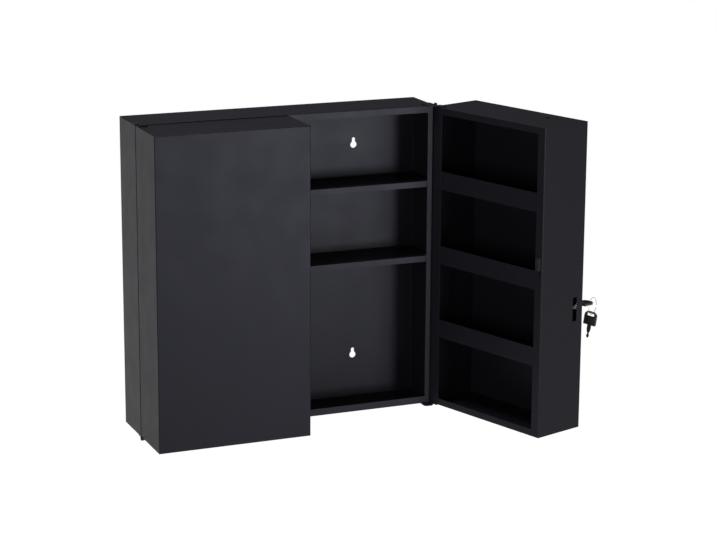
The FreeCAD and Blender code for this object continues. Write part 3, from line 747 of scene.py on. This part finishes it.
@dataclass
class CamLock(SubAssembly):
    """Threaded barrel with its nut, the plug that turns in it, the cam and the cam's screw.

    Heights run along the lock's axis into the door, from the outside of the door's front. The profiles of
    the nut and the screw are in millimetres. Angles of the rim are in degrees, and the thread's shares are
    parts of its pitch: where its root ends, and where its crest starts and ends.
    """

    axis: Matrix = field(default_factory=Matrix)
    flange_radius: float = 11 * MM
    flange_front: float = -4 * MM
    flange_round: float = 1.1 * MM
    rim_angles: Sequence[float] = (0, 18, 36, 54, 72, 90)
    barrel_radius: float = 8 * MM
    barrel_end: float = 17.6 * MM
    thread_start: float = 1.3 * MM
    thread_pitch: float = 1.3 * MM
    thread_depth: float = 0.6 * MM
    root_share: float = 0.12
    crest_shares: Sequence[float] = (0.5, 0.62)
    bore: float = 5.05 * MM
    head_bore: float = 6.65 * MM
    head_seat: float = -2 * MM
    ease: float = 0.3 * MM
    plug_edge: float = 0.2 * MM
    cam_edge: float = 0.3 * MM
    nut: Profile = ((11.15, 0.98), (12.9, 1.85), (12.9, 4.15), (11.15, 5.02))
    nut_sides: int = 96
    screw_sides: int = 40
    screw: Profile = (
        (1.3, 14.4), (1.6, 14.7), (1.6, 20.0), (3.9, 20.0), (4.0, 20.1), (4.0, 20.9), (3.9, 21.35),
        (3.55, 21.85), (2.95, 22.2), (2.1, 22.37), (1.0, 22.4),
    )
    recess_span: float = 4.2 * MM
    recess_width: float = 0.95 * MM
    recess_depth: float = 1.3 * MM

    def build(self) -> None:
        """Make every piece of the lock."""
        barrel = Bench.turned("lock_barrel_piece", self.barrel_profile(), hollow=True)
        self.finish(barrel, Body.RIGHT_DOOR, "lock_barrel")
        self.hexagon_nut()
        self.folded("lock_plug", Body.LOCK_CORE, LOCK_PLATING, self.plug_edge)
        self.folded("lock_cam", Body.LOCK_CORE, LOCK_PLATING, self.cam_edge)
        self.cam_screw()

    def finish(self, piece: bpy.types.Object, body: Body, node: str) -> None:
        """Set a turned piece on the lock's axis and fit it."""
        Bench.settle(piece, self.axis)
        Bench.smooth(piece)
        self.fit(piece, body, LOCK_PLATING, node)

    def barrel_profile(self) -> list[tuple[float, float]]:
        """Radius and height of the barrel's rings: flange, thread, end and stepped bore."""
        middle = self.flange_radius - self.flange_round
        rim = []
        for angle in self.rim_angles:
            turn = math.radians(angle)
            rim.append((
                middle + self.flange_round * math.sin(turn),
                self.flange_front + self.flange_round * (1 - math.cos(turn)),
            ))
        root = self.barrel_radius - self.thread_depth
        turns = int((self.barrel_end - self.thread_start) / self.thread_pitch)
        thread = [(self.barrel_radius, 0.0), (self.barrel_radius, self.thread_start - self.ease)]
        for turn in range(turns):
            foot = self.thread_start + turn * self.thread_pitch
            thread += [(root, foot), (root, foot + self.thread_pitch * self.root_share)]
            for share in self.crest_shares:
                thread.append((self.barrel_radius, foot + self.thread_pitch * share))
        return [
            (self.head_bore + self.ease, self.flange_front), *rim, (self.flange_radius, -self.ease),
            (self.flange_radius - self.ease, 0.0), *thread, (root, self.barrel_end),
            (self.bore + self.ease, self.barrel_end), (self.bore, self.barrel_end - self.ease),
            (self.bore, self.head_seat), (self.head_bore, self.head_seat),
            (self.head_bore, self.flange_front + self.ease),
        ]

    def hexagon_nut(self) -> None:
        """Nut with its corners turned off on both faces."""
        piece = Bench.copy("lock_nut_piece", self.nodes["lock_nut"])
        limit = Bench.turned("nut_limit", scaled(self.nut), sides=self.nut_sides)
        Bench.combine(piece, Combine.KEEP, Bench.settle(limit, self.axis))
        Bench.bevel(piece, FINE_EDGE)
        Bench.smooth(piece)
        self.fit(piece, Body.RIGHT_DOOR, LOCK_PLATING, "lock_nut")

    def cam_screw(self) -> None:
        """Pan-head screw with a cross recess."""
        piece = Bench.turned("cam_screw_piece", scaled(self.screw), sides=self.screw_sides)
        top = self.screw[-1][1] * MM
        for span in ((self.recess_span, self.recess_width), (self.recess_width, self.recess_span)):
            slit = Bench.block((0, 0, top), (*span, 2 * self.recess_depth))
            Bench.combine(piece, Combine.CUT, slit)
        self.finish(piece, Body.LOCK_CORE, "cam_screw")


@dataclass
class KeySet(SubAssembly):
    """Key in the lock, split ring and spare key.

    A key's own frame has Y along it towards the tip of its blade and Z through its thickness.
    """

    key_frame: Matrix = field(default_factory=Matrix)
    spare_frame: Matrix = field(default_factory=Matrix)
    bow_round: float = 0.8 * MM
    bow_segments: int = 4
    panel_margin: float = 3.4 * MM
    panel_end: float = 2.4 * MM
    panel_start: float = 10.2 * MM
    panel_depth: float = 0.4 * MM
    panel_corner: float = 2.5 * MM
    groove_width: float = 1.0 * MM
    groove_depth: float = 0.45 * MM
    wire_width: float = 0.84 * MM
    wire_height: float = 0.34 * MM
    wire_pitch: float = 0.36 * MM
    wire_turns: int = 2
    wire_ease: float = 0.1 * MM

    def build(self) -> None:
        """Make both keys and their ring."""
        for name, body, frame in (
            ("key", Body.KEY, self.key_frame), ("spare_key", Body.SPARE_KEY, self.spare_frame),
        ):
            self.bow(f"{name}_bow", body, frame)
            self.blade(f"{name}_blade", body, frame)
        self.split_ring()

    def bow(self, node: str, body: Body, frame: Matrix) -> None:
        """Moulded bow with rounded edges and a sunk panel on each face."""
        piece = Bench.copy(f"{node}_piece", self.nodes[node])
        low, high = Bench.extent(piece, frame)
        Bench.bevel(piece, self.bow_round, self.bow_segments)
        ends = (low.y + self.panel_start, high.y - self.panel_end)
        size = (high.x - low.x - 2 * self.panel_margin, ends[1] - ends[0], 2 * self.panel_depth)
        for face in (low.z, high.z):
            centre = ((low.x + high.x) / 2, sum(ends) / 2, face)
            panel = Bench.block(centre, size, self.panel_corner)
            Bench.combine(piece, Combine.CUT, Bench.settle(panel, frame))
        Bench.bevel(piece, FINE_EDGE)
        Bench.smooth(piece)
        self.fit(piece, body, BOW_PLASTIC, node)

    def blade(self, node: str, body: Body, frame: Matrix) -> None:
        """Flat blade with a milled groove along each face."""
        piece = Bench.copy(f"{node}_piece", self.nodes[node])
        low, high = Bench.extent(piece, frame)
        size = (self.groove_width, 2 * (high.y - low.y), 2 * self.groove_depth)
        for face in (low.z, high.z):
            centre = ((low.x + high.x) / 2, high.y, face)
            Bench.combine(piece, Combine.CUT, Bench.settle(Bench.block(centre, size), frame))
        Bench.bevel(piece, FINE_EDGE)
        Bench.smooth(piece)
        self.fit(piece, body, KEY_NICKEL, node)

    def wire_section(self, radius: float) -> list[tuple[float, float]]:
        """Corners of the ring's flat wire at a radius from its axis, each one cut off."""
        wide, high = self.wire_width / 2, self.wire_height / 2
        narrow, low = wide - self.wire_ease, high - self.wire_ease
        corners = (
            (wide, low), (narrow, high), (-narrow, high), (-wide, low),
            (-wide, -low), (-narrow, -high), (narrow, -high), (wide, -low),
        )
        return [(radius + across, level) for across, level in corners]

    def split_ring(self) -> None:
        """Flat wire wound twice round."""
        places = numpy.array([point.co for point in self.nodes["key_ring"].data.vertices])
        centre = (places.min(axis=0) + places.max(axis=0)) / 2
        flat = Vector(numpy.linalg.svd(places - centre)[2][2])
        reach = numpy.linalg.norm(places - centre, axis=1)
        radius = (reach.min() + reach.max()) / 2
        section = self.wire_section(radius)
        piece = Bench.coiled("key_ring_piece", section, self.wire_pitch, self.wire_turns)
        place = Matrix.Translation(centre) @ flat.to_track_quat("Z", "Y").to_matrix().to_4x4()
        Bench.settle(piece, place @ Matrix.Translation((0, 0, -self.wire_pitch)))
        Bench.smooth(piece)
        self.fit(piece, Body.KEY_RING, KEY_NICKEL, "key_ring")


@dataclass(frozen=True)
class Softbox:
    """Square soft lamp that points at the middle of the cabinet.

    Its bearing is where it stands, in degrees from the front to the right, and its rise is the angle above
    the level, in degrees. Its width is in metres and its power in watts.
    """

    name: str
    bearing: float
    rise: float
    width: float
    power: float

    def away(self) -> Vector:
        """Direction from the cabinet to the lamp."""
        turn, lift = math.radians(self.bearing), math.radians(self.rise)
        return Vector((
            math.sin(turn) * math.cos(lift),
            -math.cos(turn) * math.cos(lift),
            math.sin(lift),
        ))


@dataclass
class Studio:
    """Camera, lamps, floor and surroundings.

    The surroundings are brightest at the horizon and fade up to a rise, which is the height of a ray of
    length one.
    """

    picture_width: int = 716
    focal_pixels: float = 2224.7
    sensor: float = 36.0
    camera_place: Place = (-1.2912, -3.4829, 0.9064)
    yaw: float = math.radians(22.642)
    pitch: float = math.radians(14.02)
    roll: float = math.radians(0.313)
    floor_drop: float = 1.25
    floor_reach: float = 400.0
    floor_colour: Colour = (0.9, 0.9, 0.9)
    backdrop_share: float = 0.94
    backdrop_white: float = 1.06
    lamp_distance: float = 2.6
    lamp_target: Place = (0.05, -0.12, 0.0)
    lamps: Sequence[Softbox] = (
        Softbox("front_softbox", bearing=21, rise=-2, width=0.7, power=60),
        Softbox("left_softbox", bearing=-42, rise=8, width=0.9, power=34),
        Softbox("top_softbox", bearing=-90, rise=75, width=0.9, power=80),
        Softbox("back_softbox", bearing=180, rise=75, width=0.9, power=20),
    )
    horizon_light: float = 0.24
    overhead_light: float = 0.08
    fade_rise: float = 0.2

    def build(self) -> None:
        """Set up the whole studio."""
        bpy.context.scene.view_settings.view_transform = "Standard"
        self.camera()
        self.floor()
        self.surroundings()
        for softbox in self.lamps:
            self.lamp(softbox)

    def camera(self) -> None:
        """Camera at the photograph's place and angle."""
        data = bpy.data.cameras.new("photo_camera")
        data.sensor_width = self.sensor
        data.lens = self.focal_pixels / self.picture_width * self.sensor
        made = bpy.data.objects.new("photo_camera", data)
        bpy.context.scene.collection.objects.link(made)
        ahead = Vector((
            math.sin(self.yaw) * math.cos(self.pitch),
            math.cos(self.yaw) * math.cos(self.pitch),
            -math.sin(self.pitch),
        ))
        level = Vector((math.cos(self.yaw), -math.sin(self.yaw), 0))
        across = Matrix.Rotation(-self.roll, 3, ahead) @ level
        up = across.cross(ahead)
        turn = Matrix((across, up, -ahead)).transposed().to_4x4()
        made.matrix_world = Matrix.Translation(self.camera_place) @ turn
        bpy.context.scene.camera = made

    def lamp(self, softbox: Softbox) -> None:
        """Set up one lamp."""
        data = bpy.data.lights.new(softbox.name, "AREA")
        data.shape = "SQUARE"
        data.size = softbox.width
        data.energy = softbox.power
        made = bpy.data.objects.new(softbox.name, data)
        bpy.context.scene.collection.objects.link(made)
        away = softbox.away()
        made.location = Vector(self.lamp_target) + away * self.lamp_distance
        made.rotation_euler = (-away).to_track_quat("-Z", "Y").to_euler()

    def seen(self, graph: Graph) -> bpy.types.NodeSocket:
        """Grey that is one for rays that show the background: camera, glossy and transmission."""
        path = graph.node("ShaderNodeLightPath")
        either = graph.node("ShaderNodeMath", operation="MAXIMUM")
        graph.feed(either.inputs[0], path.outputs["Is Glossy Ray"])
        graph.feed(either.inputs[1], path.outputs["Is Transmission Ray"])
        every = graph.node("ShaderNodeMath", operation="MAXIMUM")
        graph.feed(every.inputs[0], either.outputs["Value"])
        graph.feed(every.inputs[1], path.outputs["Is Camera Ray"])
        return every.outputs["Value"]

    def floor(self) -> None:
        """Pale floor, far below, which keeps a trace of the shadow."""
        Bench.clear()
        bpy.ops.mesh.primitive_plane_add(size=self.floor_reach, location=(0, 0, -self.floor_drop))
        made = bpy.context.object
        made.name = "floor"
        paint = bpy.data.materials.new("pale_floor")
        paint.use_nodes = True
        graph = Graph(paint.node_tree)
        share = graph.node("ShaderNodeMath", operation="MULTIPLY")
        graph.feed(share.inputs[0], self.seen(graph))
        share.inputs[1].default_value = self.backdrop_share
        lit = graph.node("ShaderNodeBsdfDiffuse", {"Color": (*self.floor_colour, 1)})
        white = graph.node("ShaderNodeEmission", {"Strength": self.backdrop_white})
        mix = graph.node("ShaderNodeMixShader", {"Fac": share.outputs["Value"]})
        graph.feed(mix.inputs[1], lit.outputs["BSDF"])
        graph.feed(mix.inputs[2], white.outputs["Emission"])
        graph.node("ShaderNodeOutputMaterial", {"Surface": mix.outputs["Shader"]})
        made.data.materials.append(paint)

    def surroundings(self) -> None:
        """Soft light from all round, dimmer overhead."""
        world = bpy.data.worlds.new("studio")
        world.use_nodes = True
        bpy.context.scene.world = world
        graph = Graph(world.node_tree)
        way = graph.node("ShaderNodeTexCoord").outputs["Generated"]
        rise = graph.node("ShaderNodeSeparateXYZ", {"Vector": way}).outputs["Z"]
        fade = graph.node("ShaderNodeMapRange", {
            "Value": rise, "From Min": 0.0, "From Max": self.fade_rise,
            "To Min": self.horizon_light, "To Max": self.overhead_light,
        })
        light = graph.node("ShaderNodeBackground", {
            "Color": (*WHITE, 1), "Strength": fade.outputs["Result"],
        })
        graph.node("ShaderNodeOutputWorld", {"Surface": light.outputs["Background"]})


def hanging_frame(place: Sequence[float], axis: Sequence[float]) -> Matrix:
    """Frame of a key that hangs with a slight lean.

    Args:
        place: point that it hangs from.
        axis: axis that it swings about.

    Returns:
        The frame, with Y along the key and Z along the axis.
    """
    through = Vector(axis)
    across = Vector((through.y, -through.x, 0))
    hanging = Vector(DOWN) * math.cos(SPARE_LEAN) + across * math.sin(SPARE_LEAN)
    return axis_frame(place, hanging, through, along="Y")


def main() -> None:
    """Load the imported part, build each sub-assembly round it and set up the studio."""
    logging.basicConfig(level=logging.INFO, format="%(name)s: %(message)s")
    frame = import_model()
    nodes = frame["nodes"]
    joints = {joint["name"]: joint for joint in frame["joints"]}
    lock, spare = joints["lock_turn"], joints["spare_key_swing"]
    parts = [
        CabinetBody(nodes),
        BoxDoor(nodes, side=Side.LEFT),
        BoxDoor(nodes, side=Side.RIGHT),
        CornerHinges(nodes),
        CamLock(nodes, axis=axis_frame(lock["pos_m"], lock["axis"], UP)),
        KeySet(
            nodes,
            key_frame=axis_frame(lock["pos_m"], lock["axis"], UP, along="Y"),
            spare_frame=hanging_frame(spare["pos_m"], spare["axis"]),
        ),
    ]
    for part in parts:
        part.build()
        for piece in part.made:
            LOG.info("%s: %d faces", piece.name, len(piece.data.polygons))
    Studio().build()


if __name__ == "__main__":
    main()
